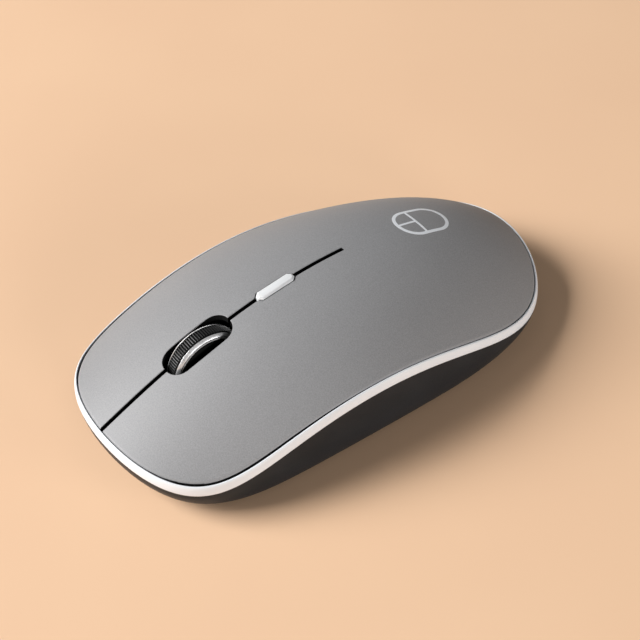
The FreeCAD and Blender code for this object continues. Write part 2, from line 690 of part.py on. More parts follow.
def make_cradle():
    """Carrier of the wheel: two cheeks with bearings, tied front and rear, tilting on rear pins."""
    long = "cheek_rear - cheek_front"
    middle = "(cheek_rear + cheek_front) / 2"
    wide = "2 * (cheek_inner + cheek_wall)"
    solids = []
    for name, side in (("left_cheek", 1), ("right_cheek", -1)):
        x = f"{side} * (cheek_inner + cheek_wall / 2)"
        solids.append(box(name + "_rail", "cheek_wall", long, "rail_height", x, middle, "cheek_low"))
        solids.append(box(name + "_tower", "cheek_wall", "tower_length", "tower_height", x, "wheel_place",
                          "cheek_low"))
    solids.append(box("front_bar", wide, "cradle_bar", "2", "0", "cheek_front + cradle_bar / 2",
                      "cheek_low"))
    solids.append(box("rear_bar", wide, "3", "2.8", "0", "cheek_rear - 1.5", "cheek_low"))
    solids.append(cylinder("pivot_pins", "pivot_radius", "2 * pin_reach", "-pin_reach", "pivot_place",
                           "pivot_height", "x"))
    arm_low = "board_low + board_thick + tact_height + tact_stem_proud + press_gap"
    solids.append(box("click_arm", "tact_side + 1.4 - cheek_inner", "2.4", "1.4",
                      "(tact_side + 1.4 + cheek_inner) / 2", "tact_place", arm_low))
    bearing = cylinder("axle_bearing", "axle_radius + bearing_clearance", "20", "-10", "wheel_place",
                       "axle_height", "x")
    piece(less("wheel_cradle_final", joined("cradle_solid", solids), [bearing]), "wheel_cradle")

    case = box("encoder_case", "encoder_thick", "encoder_length", "encoder_height",
               "-cheek_inner - cheek_wall - encoder_thick / 2", "encoder_place", "encoder_low")
    bore = cylinder("encoder_bore", "axle_radius + bearing_clearance", "20", "-15", "wheel_place",
                    "axle_height", "x")
    piece(less("encoder_body_final", case, [bore]), "encoder_body")


def make_rocker():
    """Pale resolution button behind the wheel, with its flange and the stem to its switch."""
    body = new_body("dpi_button")
    sketch = sketch_on(body, "YZ_Plane")
    front, rear = "button_place - button_length / 2", "button_place + button_length / 2"
    low_front, low_rear = "button_front_crest - 3", "button_rear_crest - 3"
    polygon(sketch, [(front, low_front), (rear, low_rear), (rear, "button_rear_crest"),
                     (f"{rear} - 0.7", "button_rear_crest + button_proud - 0.1"),
                     (f"{front} + 0.7", "button_front_crest + button_proud + 0.1"),
                     (front, "button_front_crest")])
    pad(body, sketch, "button_width", middle=True)
    sketch = sketch_on(body, "YZ_Plane")
    polygon(sketch, [(front, "button_front_crest - 3.4"), (rear, "button_rear_crest - 3.4"),
                     (rear, "button_rear_crest - 2.4"), (front, "button_front_crest - 2.4")])
    pad(body, sketch, "button_width + 1.2", middle=True)
    sketch = sketch_on(body, "YZ_Plane")
    stem_low = "board_low + board_thick + tall_tact_height + tall_tact_proud + press_gap"
    rectangle(sketch, "stem_place - stem_size / 2", "stem_place + stem_size / 2", stem_low,
              "button_front_crest - 2.8")
    pad(body, sketch, "stem_size", middle=True)
    piece(place(body), "dpi_button")


def make_board():
    """Circuit board with the four click switches that stand on it."""
    top = "board_low + board_thick"
    body = new_body("circuit_board")
    sketch = sketch_on(body, "XY_Plane")
    half = "board_width / 2"
    polygon(sketch, [(f"-{half}", "board_rear"), (f"-{half}", "board_front + board_corner"),
                     (f"board_corner - {half}", "board_front"), (f"{half} - board_corner", "board_front"),
                     (half, "board_front + board_corner"), (half, "board_rear")])
    pad(body, sketch, "board_thick")
    sketch = sketch_on(body, "XY_Plane")
    half_notch = "board_notch_width / 2"
    rectangle(sketch, f"-{half_notch}", half_notch, "board_notch_front", "board_notch_rear")
    circle(sketch, "board_screw_side", "board_screw_place", "1.1")
    circle(sketch, "-board_screw_side", "board_screw_place", "1.1")
    pocket(body, sketch)
    piece(place(body, 0, 0, "board_low"), "circuit_board")

    for side_name, sign in (("left", "1"), ("right", "-1")):
        x = f"{sign} * switch_side"
        case = box(side_name + "_switch_case", "switch_width", "switch_length", "switch_height", x,
                   "switch_place", top)
        wide = "plunger_size + 2 * plunger_clearance"
        well = box(side_name + "_switch_well", wide, wide, "plunger_well", x, "plunger_place",
                   f"{top} + switch_height - plunger_well")
        piece(less(side_name + "_switch_final", case, [well]), f"{side_name}_switch_body")
        plunger = box(side_name + "_plunger_block", "plunger_size", "plunger_size",
                      "plunger_root + plunger_proud", x, "plunger_place",
                      f"{top} + switch_height - plunger_root")
        piece(plunger, f"{side_name}_switch_plunger")
    push_switch("middle", "tact_size", "tact_height", "tact_stem_radius", "tact_stem_proud",
                "tact_side", "tact_place")
    push_switch("dpi", "tall_tact_size", "tall_tact_height", "tall_tact_stem_radius", "tall_tact_proud",
                "0", "stem_place")


def push_switch(name, side, height, stem_radius, stem_proud, x, y):
    """Square push switch on the board, with the round stem that sinks into its well."""
    top = "board_low + board_thick"
    case = box(name + "_tact_case", side, side, height, x, y, top)
    well = cylinder(name + "_tact_well", f"{stem_radius} + plunger_clearance", "plunger_well", x, y,
                    f"{top} + {height} - plunger_well")
    piece(less(name + "_tact_final", case, [well]), f"{name}_switch_body")
    stem = cylinder(name + "_tact_stem", stem_radius, f"plunger_root + {stem_proud}", x, y,
                    f"{top} + {height} - plunger_root")
    piece(stem, f"{name}_switch_plunger")


def make_board_parts():
    """Sensor with its lens and lamp, the small components, and the power switch with its knob."""
    top = "board_low + board_thick"
    piece(box("sensor_case", "chip_width", "chip_length", "chip_height", "0", "chip_place + 1", top),
          "sensor_chip")
    lens_low = "board_low - 0.95"
    lens_plate = box("lens_plate", "chip_width", "12", "0.9", "0", "chip_place", lens_low)
    lens_barrel = cylinder("lens_barrel", "2.4", "2.2", "0", "chip_place", f"{lens_low} - 2.1")
    piece(joined("sensor_lens_final", [lens_plate, lens_barrel]), "sensor_lens")
    piece(cylinder("led_case", "1.5", "4.6", "5.4", "chip_place + 1", f"{top} + 1.6", "x"), "sensor_led")

    sizes_and_places = {"radio_chip": (6, 6, 0.9, -12.6, -19.5), "crystal": (3.2, 2.5, 0.8, -12.6, -13.5),
                        "driver_chip": (5, 4, 1.2, 13.5, -17)}
    chips = [box(name, *numbers, top) for name, numbers in sizes_and_places.items()]
    chips.append(cylinder("reservoir", "2.2", "5.2", "13.5", "-10", top))
    for k in range(5):
        chips.append(box(f"small_part_{k}", "1.6", "0.8", "0.6", f"-19 + {k} * 2.4", "-6", top))
    group("board_components", chips)

    case_height = "1.4"
    piece(box("power_case", "4.6", "8.6", case_height, "knob_side", "knob_place",
              f"board_low - {case_height}"), "power_switch_body")
    knob_low = "foot_height + 0.25"
    knob_height = f"board_low - {case_height} - 0.05 - ({knob_low})"
    start = "knob_place - knob_travel / 2"
    knob = box("knob_block", "knob_width", "knob_length", knob_height, "knob_side", start, knob_low)
    notches = [box(f"knob_notch_{k}", "6", "0.4", "0.4", "knob_side", f"{start} + {k} * 1.1",
                   "foot_height") for k in (-1, 0, 1)]
    piece(less("power_knob_final", knob, notches), "power_knob")


def make_power():
    """Two cells in their tray, their contacts, and the radio receiver stored beside them."""
    cells, front_contacts, rear_contacts = [], [], []
    can_length = "cell_length - cell_nub_length"
    for name, side in (("left", 1), ("right", -1)):
        x = f"{side} * cell_side"
        nub_in_front = side > 0
        can_start = "cell_front + cell_nub_length" if nub_in_front else "cell_front"
        nub_start = "cell_front" if nub_in_front else f"cell_front + {can_length}"
        can = cylinder(name + "_can", "cell_radius", can_length, x, can_start, "cell_height", "y")
        nub = cylinder(name + "_nub", "cell_nub_radius", "cell_nub_length", x, nub_start,
                       "cell_height", "y")
        cells.append(joined(name + "_cell", [can, nub]))
        front_contacts.append(contact_plate(name + "_front", x, f"door_front - {ROOT}"))
        bay_end = "cell_front + cell_length + contact_room"
        plate = contact_plate(name + "_rear", x, f"{bay_end} - contact_thick")
        cone = doc.addObject("Part::Cone", name + "_spring")
        for part, text in (("Radius1", "2.0"), ("Radius2", "3.0"),
                           ("Height", "contact_room - contact_thick - 0.1")):
            cone.setExpression(part, bound(text))
        cone.Placement.Rotation = Rotation(Vector(1, 0, 0), -90)
        place(cone, x, "cell_front + cell_length + 0.1", "cell_height")
        rear_contacts.append(joined(name + "_rear_contact", [plate, cone]))
    group("battery_cells", cells)
    group("battery_contacts", front_contacts + rear_contacts)

    x, head_end = "receiver_side", "receiver_front + receiver_head"
    piece(box("receiver_case", "receiver_thick", "receiver_head", "receiver_width", x,
              "receiver_front + receiver_head / 2", "receiver_low"), "usb_receiver")
    plug_low = "receiver_low + (receiver_width - plug_width) / 2"
    shell = box("plug_shell", "plug_thick", "plug_length", "plug_width", x,
                f"{head_end} + plug_length / 2", plug_low)
    hollow = box("plug_hollow", "plug_thick / 2 - 0.3", "plug_length", "plug_width - 0.6",
                 f"{x} - plug_thick / 4", f"{head_end} + plug_length / 2 + 0.5", f"{plug_low} + 0.3")
    piece(less("receiver_plug_final", shell, [hollow]), "receiver_plug")


def contact_plate(name, x, start):
    """Square spring-steel plate across one end of a cell."""
    side = "7"
    return box(name + "_plate", side, "contact_thick", side, x, f"{start} + contact_thick / 2",
               f"cell_height - {side} / 2 - 0.1")


def screw(name, kind, radius, x, y, seat, head_up):
    """Cross-recessed screw; seat is where its head meets its shank."""
    head_height, length = kind + "_head_height", kind + "_length"
    head = cylinder(name + "_head", kind + "_head_radius", head_height, x, y,
                    seat if head_up else f"{seat} - {head_height}")
    shank = cylinder(name + "_shank", radius, length, x, y, f"{seat} - {length}" if head_up else seat)
    recess_low = f"{seat} + {head_height} - recess_depth" if head_up else f"{seat} - {head_height} - 0.1"
    depth = "recess_depth + 0.1"
    slots = [box(name + "_slot_a", "recess_length", "recess_width", depth, x, y, recess_low),
             box(name + "_slot_b", "recess_width", "recess_length", depth, x, y, recess_low)]
    return less(name, joined(name + "_blank", [head, shank]), slots)


def make_screws():
    """Two screws that hold the palm cover, and two that hold the board."""
    case, board = [], []
    for name, sign in (("left", "1"), ("right", "-1")):
        case.append(screw(name + "_case_screw", "screw", "screw_radius - 0.05", f"{sign} * screw_side",
                          "screw_place", "screw_shelf", False))
        board.append(screw(name + "_board_screw", "board_screw", "board_screw_radius",
                           f"{sign} * board_screw_side", "board_screw_place",
                           "board_low + board_thick", True))
    group("case_screws", case)
    group("board_screws", board)


# ---------------------------------------------------------------- build, test and write

for end, sign in (("front", -1), ("rear", 1)):
    y_end = size("button_place") + sign * size("button_length") / 2
    derived = f"button_{end}_crest"
    known_aliases.add(derived)
    store(derived, round(cover_height(0, y_end), 2), len(known_aliases) + 1)
doc.recompute()

make_keys()
make_palm()
make_rim()
make_shell()
make_door()
make_feet()
make_frame()
make_wheel()
make_cradle()
make_rocker()
make_board()
make_board_parts()
make_power()
make_screws()
doc.recompute()

for item in doc.Objects:
    if "Invalid" in item.State or "Error" in item.State:
        raise RuntimeError(f"{item.Label}: {item.State}")
for item in parts:
    if item.Shape.isNull() or not item.Shape.isValid() or not item.Shape.Solids:
        raise RuntimeError(item.Label + ": bad shape")
for item in parts:
    item.Shape.exportStep(f"parts/{item.Label}.step")
    span = item.Shape.BoundBox
    print(f"{item.Label:24s} solids {len(item.Shape.Solids)}  volume {item.Shape.Volume:8.1f}  "
          f"x {span.XMin:6.2f} {span.XMax:6.2f}  y {span.YMin:6.2f} {span.YMax:6.2f}  "
          f"z {span.ZMin:6.2f} {span.ZMax:6.2f}")
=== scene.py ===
import json
import math

import bmesh
import bpy
from mathutils import Matrix, Vector


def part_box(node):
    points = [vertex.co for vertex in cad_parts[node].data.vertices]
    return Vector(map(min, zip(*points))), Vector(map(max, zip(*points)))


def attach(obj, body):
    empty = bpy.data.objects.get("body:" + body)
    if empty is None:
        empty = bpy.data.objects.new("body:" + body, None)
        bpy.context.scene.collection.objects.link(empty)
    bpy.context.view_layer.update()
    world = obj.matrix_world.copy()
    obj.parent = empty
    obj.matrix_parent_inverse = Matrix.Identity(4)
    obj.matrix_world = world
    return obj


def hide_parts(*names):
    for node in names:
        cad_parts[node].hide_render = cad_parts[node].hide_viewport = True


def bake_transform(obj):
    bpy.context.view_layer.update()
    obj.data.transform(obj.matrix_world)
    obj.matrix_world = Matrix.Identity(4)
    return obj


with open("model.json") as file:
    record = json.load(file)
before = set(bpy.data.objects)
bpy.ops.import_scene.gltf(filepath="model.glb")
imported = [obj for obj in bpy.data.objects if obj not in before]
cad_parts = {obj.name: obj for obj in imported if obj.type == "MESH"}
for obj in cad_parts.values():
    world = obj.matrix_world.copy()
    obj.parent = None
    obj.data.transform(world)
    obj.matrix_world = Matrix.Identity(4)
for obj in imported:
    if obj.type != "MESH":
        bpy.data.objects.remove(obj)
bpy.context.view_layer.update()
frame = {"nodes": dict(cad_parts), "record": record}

# Slim wireless mouse. Everything below is in metres; MM turns the design's millimetres into metres.
# The nose points to -Y, the tail to +Y, and the user's left hand side is +X.
MM = 0.001

# ---------------------------------------------------------------- the shape, read from the frame


def span(node, axis):
    """Length of a CAD node along one axis."""
    low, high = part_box(node)
    return (high - low)[axis]


RIM_FLARE = 0.8 * MM
HALF = span("rim_band", 1) / 2 - RIM_FLARE
WIDTH = 57.0 * MM
TAPER = (0.018, -0.036, 0.018)
NOSE_POWER, TAIL_POWER = 7.9, 4.5
STATIONS = [-HALF, -34 * MM, -12 * MM, 10 * MM, 32 * MM, HALF]
CRESTS = [value * MM for value in (11.2, 20.3, 26.05, 27.4, 23.6, 11.1)]
DROPS = [value * MM for value in (6.6, 8.8, 9.5, 11.8, 15.0, 17.6)]


def through_stations(values, y):
    """The smooth polynomial that takes the given values at the six stations."""
    total = 0.0
    for i, value in enumerate(values):
        term = value
        for j, station in enumerate(STATIONS):
            if j != i:
                term *= (y - station) / (STATIONS[i] - station)
        total += term
    return total


def half_width(y):
    """Half the width that the outline would have with no rounding at its ends."""
    place = y / HALF
    return WIDTH / 2 * (1 + TAPER[0] * place + TAPER[1] * place ** 2 + TAPER[2] * place ** 3)


def fullness(y):
    """One along the middle of the mouse, falling to nothing at its nose and tail."""
    return max(0.0, 1 - abs(y / HALF) ** (NOSE_POWER if y < 0 else TAIL_POWER))


def cover_height(x, y):
    """Height of the top cover's outer surface."""
    return through_stations(CRESTS, y) - through_stations(DROPS, y) * (x / half_width(y)) ** 2


def edge_distance(x, y):
    """Roughly how far a point lies inside the cover's outline."""
    def inside(px, py):
        """One in the middle of the outline, and nothing on it."""
        power = NOSE_POWER if py < 0 else TAIL_POWER
        return 1 - (px / half_width(py)) ** 2 - abs(py / HALF) ** power
    step = 0.01 * MM
    here = inside(x, y)
    slope_x = (inside(x + step, y) - inside(x - step, y)) / (2 * step)
    slope_y = (inside(x, y + step) - inside(x, y - step)) / (2 * step)
    return here / max(math.hypot(slope_x, slope_y), 1e-6)


def outline(count, offset=0.0):
    """Points round the rim line, moved outwards by offset, each at the rim's own height."""
    rim = []
    for k in range(count):
        turn = 2 * math.pi * k / count
        y = -HALF * math.cos(turn)
        x = math.copysign(half_width(y) * math.sqrt(fullness(y)), math.pi - turn)
        rim.append(Vector((x, y, through_stations(CRESTS, y) - through_stations(DROPS, y) * fullness(y))))
    moved = []
    for k, point in enumerate(rim):
        along = rim[(k + 1) % count] - rim[k - 1]
        outward = Vector((along.y, -along.x, 0)).normalized()
        moved.append(point + outward * offset)
    return moved


# ---------------------------------------------------------------- mesh helpers

def mesh_object(name, vertices, faces, smooth_angle=35):
    """A new object from vertices and faces, shaded smooth up to an angle."""
    mesh = bpy.data.meshes.new(name)
    mesh.from_pydata([tuple(v) for v in vertices], [], faces)
    mesh.update()
    item = bpy.data.objects.new(name, mesh)
    bpy.context.scene.collection.objects.link(item)
    shade(item, smooth_angle)
    return item


def shade(item, smooth_angle):
    """Smooth shading with edges sharper than an angle kept crisp; also turns the faces outwards."""
    work = bmesh.new()
    work.from_mesh(item.data)
    bmesh.ops.recalc_face_normals(work, faces=work.faces)
    if work.calc_volume(signed=True) < 0:
        bmesh.ops.reverse_faces(work, faces=work.faces)
    for face in work.faces:
        face.smooth = True
    for edge in work.edges:
        if len(edge.link_faces) == 2:
            edge.smooth = edge.calc_face_angle(0) < math.radians(smooth_angle)
    work.to_mesh(item.data)
    work.free()


def ring_faces(rings, count, closed=False):
    """Quads between rings of vertices that follow each other; closed joins the last to the first."""
    faces = []
    pairs = rings if closed else rings - 1
    for r in range(pairs):
        for k in range(count):
            a, b = r * count + k, r * count + (k + 1) % count
            after = (r + 1) % rings
            faces.append((a, b, after * count + (k + 1) % count, after * count + k))
    return faces


def stack_faces(rings, count):
    """Faces of a closed solid through a stack of rings: its walls and its two end caps."""
    last = (rings - 1) * count
    return ring_faces(rings, count) + [tuple(reversed(range(count))), tuple(range(last, last + count))]


def cut(item, tool):
    """Subtract a closed mesh from another and throw the tool away."""
    change = item.modifiers.new("cut", "BOOLEAN")
    change.object = tool
    change.operation = "DIFFERENCE"
    change.solver = "EXACT"
    result = item.evaluated_get(bpy.context.evaluated_depsgraph_get())
    shaped = bpy.data.meshes.new_from_object(result)
    item.modifiers.clear()
    item.data = shaped
    bpy.data.objects.remove(tool)


# ---------------------------------------------------------------- materials

class Nodes:
    """Short way to build one material's node tree."""

    def __init__(self, name):
        self.material = bpy.data.materials.new(name)
        self.material.use_nodes = True
        self.tree = self.material.node_tree
        self.shader = self.tree.nodes["Principled BSDF"]
        self.place = self.tree.nodes.new("ShaderNodeTexCoord").outputs["Object"]

    def feed(self, node, inputs):
        """Set or link a node's inputs by name; an underscore stands for a space."""
        for key, value in inputs.items():
            socket = node.inputs[key.replace("_", " ")]
            if isinstance(value, bpy.types.NodeSocket):
                self.tree.links.new(value, socket)
            else:
                socket.default_value = value

    def add(self, kind, **inputs):
        """A new node of a kind, with its inputs."""
        node = self.tree.nodes.new("ShaderNode" + kind)
        self.feed(node, inputs)
        return node

    def noise(self, size, detail=2.0, stretch=None):
        """Noise with grains about one size across, in metres."""
        where = self.place
        if stretch:
            where = self.add("Mapping", Vector=where, Scale=stretch).outputs["Vector"]
        return self.add("TexNoise", Vector=where, Scale=1 / size, Detail=detail).outputs["Fac"]

    def ramp(self, factor, low, high, dark, light):
        """Colours or greys from dark at low to light at high."""
        node = self.add("ValToRGB", Fac=factor)
        first, last = node.color_ramp.elements
        first.position, last.position = low, high
        first.color, last.color = (*dark, 1), (*light, 1)
        return node.outputs["Color"]

    def grey(self, factor, low, high, dark, light):
        """A number that goes from dark at low to light at high."""
        node = self.add("MapRange", Value=factor, From_Min=low, From_Max=high, To_Min=dark, To_Max=light)
        return node.outputs["Result"]

    def bump(self, height, depth):
        """Surface relief of a depth, in metres."""
        return self.add("Bump", Height=height, Strength=1.0, Distance=depth).outputs["Normal"]

    def finish(self, **inputs):
        """Set the shader's inputs and give back the material."""
        self.feed(self.shader, inputs)
        return self.material


def tinted(colour, amount):
    """A colour made lighter or darker by a factor."""
    return tuple(min(1.0, value * amount) for value in colour)


def moulded(name, colour, roughness, spread=0.12, grain=0.35 * MM, depth=0.006 * MM, **extra):
    """Moulded plastic or rubber: faint colour drift, fine grain in gloss and surface."""
    nodes = Nodes(name)
    drift = nodes.noise(9 * MM, 3)
    fine = nodes.noise(grain, 3)
    base = nodes.ramp(drift, 0.3, 0.7, tinted(colour, 1 - spread), tinted(colour, 1 + spread))
    rough = nodes.grey(fine, 0.3, 0.7, roughness * 0.85, roughness * 1.15)
    return nodes.finish(Base_Color=base, Roughness=rough, Normal=nodes.bump(fine, depth), **extra)


def cover_paint():
    """Satin metallic paint with fine bright and dark flakes and an even, dense grain."""
    nodes = Nodes("cover_paint")
    flakes = nodes.noise(0.24 * MM, 3)
    drift = nodes.noise(30 * MM, 2)
    grain = nodes.ramp(flakes, 0.30, 0.70, (0.252, 0.251, 0.256), (0.330, 0.329, 0.334))
    cloud = nodes.ramp(drift, 0.3, 0.7, (0.95, 0.95, 0.95), (1.0, 1.0, 1.0))
    mix = nodes.add("Mix")
    mix.data_type = "RGBA"
    mix.blend_type = "MULTIPLY"
    nodes.feed(mix, {"Factor": 1.0, "A": grain, "B": cloud})
    rough = nodes.grey(flakes, 0.3, 0.7, 0.56, 0.68)
    return nodes.finish(Base_Color=mix.outputs["Result"], Metallic=0.2, Roughness=rough,
                        Normal=nodes.bump(flakes, 0.008 * MM))


def metal(name, colour, roughness, stretch=(1, 1, 1)):
    """Bare or plated metal with fine marks that may run one way."""
    nodes = Nodes(name)
    marks = nodes.noise(0.5 * MM, 4, stretch)
    base = nodes.ramp(marks, 0.3, 0.7, tinted(colour, 0.92), tinted(colour, 1.06))
    rough = nodes.grey(marks, 0.3, 0.7, roughness * 0.8, roughness * 1.2)
    return nodes.finish(Base_Color=base, Metallic=1.0, Roughness=rough,
                        Normal=nodes.bump(marks, 0.002 * MM))


def clear_lens():
    """Clear moulded plastic, with a gloss that varies a little."""
    nodes = Nodes("clear_lens")
    rough = nodes.grey(nodes.noise(1.5 * MM, 2), 0.3, 0.7, 0.04, 0.1)
    return nodes.finish(Base_Color=(0.85, 0.88, 0.92, 1), Roughness=rough,
                        Transmission_Weight=0.9, IOR=1.49)


# The keys are the record's slots. A material's own name can differ, because the frame brings some too.
MATERIALS = {
    "cover_paint": cover_paint(),
    "rim_silver": moulded("rim_silver", (0.75, 0.77, 0.80), 0.36, 0.02, 0.6 * MM, 0.002 * MM),
    "shell_black": moulded("shell_black", (0.016, 0.018, 0.021), 0.42, 0.15, 0.25 * MM, 0.008 * MM,
                           Specular_IOR_Level=0.25),
    "foot_plastic": moulded("foot_plastic", (0.06, 0.06, 0.065), 0.5, 0.1, 0.8 * MM),
    "inner_black": moulded("inner_black", (0.004, 0.004, 0.004), 0.75, Specular_IOR_Level=0.15),
    "tyre_rubber": moulded("tyre_rubber", (0.016, 0.016, 0.016), 0.36, 0.15, 0.12 * MM, 0.004 * MM),
    "bright_chrome": moulded("bright_chrome", (0.86, 0.86, 0.87), 0.30, 0.02, 0.8 * MM, 0.0001 * MM,
                             Metallic=0.6),
    "encoder_plastic": moulded("encoder_plastic", (0.10, 0.17, 0.14), 0.5),
    "button_plastic": moulded("button_plastic", (0.70, 0.71, 0.72), 0.32, 0.02, 0.4 * MM, 0.002 * MM),
    "board_green": moulded("board_green", (0.02, 0.12, 0.05), 0.35, 0.2, 1.2 * MM, 0.02 * MM),
    "switch_black": moulded("switch_black", (0.02, 0.02, 0.02), 0.45),
    "plunger_plastic": moulded("plunger_plastic", (0.70, 0.66, 0.58), 0.4),
    "chip_black": moulded("chip_black", (0.02, 0.02, 0.022), 0.5),
    "clear_lens": clear_lens(),
    "led_red": moulded("led_red", (0.5, 0.05, 0.04), 0.2),
    "switch_metal": metal("switch_metal", (0.55, 0.55, 0.55), 0.35, (1, 8, 1)),
    "knob_plastic": moulded("knob_plastic", (0.62, 0.62, 0.62), 0.4),
    "cell_wrap": moulded("cell_wrap", (0.08, 0.18, 0.40), 0.3, 0.1),
    "contact_metal": metal("contact_metal", (0.68, 0.67, 0.64), 0.3, (6, 1, 1)),
    "screw_steel": metal("screw_steel", (0.30, 0.30, 0.31), 0.35),
}


def finish(item, slot, body=None):
    """Give a piece its material and slot, and let it ride on a body."""
    item.data.materials.clear()
    item.data.materials.append(MATERIALS[slot])
    if body:
        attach(item, body)
    return item


for part in frame["record"]["subparts"]:
    node = frame["nodes"][part["node"]]
    node.data.materials.clear()
    node.data.materials.append(MATERIALS[part["material_slot"]])


# ---------------------------------------------------------------- top cover

SLIT = 0.95 * MM
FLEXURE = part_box("left_key")[1].y + 0.15 * MM
COVER_WALL = 1.5 * MM
EDGE_ROUNDING = 0.45 * MM
SLIT_ROUNDING = 0.18 * MM
ROW_ANGLE = math.radians(0.45)
PALM_COLUMNS, KEY_COLUMNS = 150, 84
TAIL_TIP = math.pi - 0.004


def eased(value, start, full):
    """Smooth step from 0 at start to 1 at full."""
    part = min(1.0, max(0.0, (value - start) / (full - start)))
    return part * part * (3 - 2 * part)


def cover_gap(y):
    """Gap between cover and rim: widest at the front corners, closing to the nose tip and to the tail."""
    narrow, wide = 0.05 * MM, 0.42 * MM
    share = eased(y, 2 * MM, -36 * MM) * eased(y, -55 * MM, -48 * MM)
    return narrow + (wide - narrow) * share


def edge_point(turn):
    """Point of the cover's own edge on the +X side, turn going from 0 at the nose to pi at the tail."""
    def rim(angle):
        """Point of the rim line on the +X side."""
        y = -HALF * math.cos(angle)
        return Vector((half_width(y) * math.sqrt(fullness(y)), y, 0))
    step = 0.002
    along = rim(min(turn + step, math.pi)) - rim(max(turn - step, 0))
    inward = Vector((-along.y, along.x, 0)).normalized()
    point = rim(turn)
    return point + inward * cover_gap(point.y)


def turn_where(test):
    """The smallest turn at which a test on the edge point holds, found by halving."""
    low, high = 0.0, math.pi
    for _ in range(40):
        middle = (low + high) / 2
        if test(edge_point(middle)):
            high = middle
        else:
            low = middle
    return high


def rounding(distance, radius):
    """How far a rounded edge has fallen at a distance inside it."""
    inside = min(max(distance, 0.0), radius)
    return radius - math.sqrt(radius ** 2 - (radius - inside) ** 2)


def slab_faces(rows, columns):
    """Faces of a closed slab: a grid on top, the same grid below, and a wall round them."""
    under = rows * columns
    faces = []
    for r in range(rows - 1):
        for c in range(columns - 1):
            a = r * columns + c
            quad = (a, a + 1, a + 1 + columns, a + columns)
            faces.append(quad)
            faces.append(tuple(under + v for v in reversed(quad)))
    border = list(range(columns))
    border += [r * columns + columns - 1 for r in range(1, rows)]
    border += [(rows - 1) * columns + c for c in range(columns - 2, -1, -1)]
    border += [r * columns for r in range(rows - 2, 0, -1)]
    for here, after in zip(border, border[1:] + border[:1]):
        faces.append((after, here, here + under, after + under))
    return faces


def cover_piece(name, x_span, first_turn, last_turn, columns, slit_side):
    """Part of the top cover between two turns of its edge.

    x_span gives the two ends of a row from the edge point; slit_side is True where the inner end
    is a rounded edge of the slit.
    """
    rows = max(2, round((last_turn - first_turn) / ROW_ANGLE))
    top = []
    for r in range(rows + 1):
        edge = edge_point(first_turn + (last_turn - first_turn) * r / rows)
        start, stop = x_span(edge.x)
        gap = cover_gap(edge.y)
        for c in range(columns + 1):
            part = (1 - math.cos(math.pi * c / columns)) / 2
            x = start + (stop - start) * part
            fall = rounding(edge_distance(x, edge.y) - gap, EDGE_ROUNDING)
            if slit_side:
                fall = max(fall, rounding(abs(x) - SLIT / 2, SLIT_ROUNDING))
            top.append(Vector((x, edge.y, cover_height(x, edge.y) - fall)))
    below = [point - Vector((0, 0, COVER_WALL)) for point in top]
    return mesh_object(name, top + below, slab_faces(rows + 1, columns + 1), 50)


def black_bare_or_shade(item, chosen):
    """Give the faces that a test picks the dull black instead of the piece's own material: bare black
    plastic on the cover, painted shade on the tyre and the rings.
    """
    item.data.materials.append(MATERIALS["inner_black"])
    for face in item.data.polygons:
        if chosen(face):
            face.material_index = 1


def is_wall(face, steepest=0.35):
    """Walls and underside of the cover, which the paint does not reach."""
    return face.normal.z < steepest


def pill_outline(length, width, corner, place, grow, steps=14):
    """Rounded rectangle on the mouse's middle line, grown outwards, as (x, y) points."""
    points = []
    for quarter, (sx, sy) in enumerate(((1, 1), (-1, 1), (-1, -1), (1, -1))):
        cx, cy = sx * (width / 2 - corner), place + sy * (length / 2 - corner)
        for k in range(steps + 1):
            angle = math.pi / 2 * (quarter + k / steps)
            radius = corner + grow
            points.append((cx + radius * math.cos(angle), cy + radius * math.sin(angle)))
    return points


def bar_outline(length, width, place, grow):
    """Octagon on the mouse's middle line: a bar with its corners cut, grown outwards, as (x, y) points."""
    half_x, half_y = width / 2 + grow, length / 2 + grow
    cut_x, cut_y = 0.62 * width / 2 + grow * 0.6, 0.34 * width + grow * 0.4
    quarter = [(half_x, half_y - cut_y), (half_x - cut_x, half_y)]
    half = quarter + [(-x, y) for x, y in reversed(quarter)]
    return [(x, place + y) for x, y in half + [(-x, -y) for x, y in half]]


def opening_cutter(ring_at, lip):
    """Tool for an opening in the cover whose upper edge is rounded by lip; ring_at(grow) is its outline.

    It stands well above the crowned cover, because a low cap would leave slivers of skin.
    """
    below, above, steps, last_angle = -4 * MM, 3 * MM, 5, math.radians(78)
    levels = [(0.0, below), (0.0, -lip)]
    for k in range(1, steps + 1):
        angle = last_angle * k / steps
        levels.append((lip * (1 - math.cos(angle)), -lip * (1 - math.sin(angle))))
    levels += [(lip * 1.6, lip * 1.5), (lip * 1.6, above)]
    rings = [ring_at(grow) for grow, rise in levels]
    vertices = []
    for ring, (grow, rise) in zip(rings, levels):
        vertices += [Vector((x, y, cover_height(x, y) + rise)) for x, y in ring]
    return mesh_object("cutter", vertices, stack_faces(len(rings), len(rings[0])))


WELL_PLACE, WELL_LENGTH, WELL_WIDTH, WELL_CORNER = (v * MM for v in (-30.5, 16.2, 7.6, 3.4))
WELL_LIP, BUTTON_LIP = 0.12 * MM, 0.10 * MM
BUTTON_PLACE = (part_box("dpi_button")[0].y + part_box("dpi_button")[1].y) / 2
BUTTON_LENGTH = span("dpi_button", 1)
BUTTON_WIDTH = 2.5 * MM


def well_ring(grow):
    """Outline of the wheel's opening."""
    return pill_outline(WELL_LENGTH, WELL_WIDTH, WELL_CORNER, WELL_PLACE, grow)


def button_ring(grow):
    """Outline of the button's opening, with more room at its ends than at its sides."""
    return bar_outline(BUTTON_LENGTH + 0.7 * MM, BUTTON_WIDTH + 0.3 * MM, BUTTON_PLACE, grow)


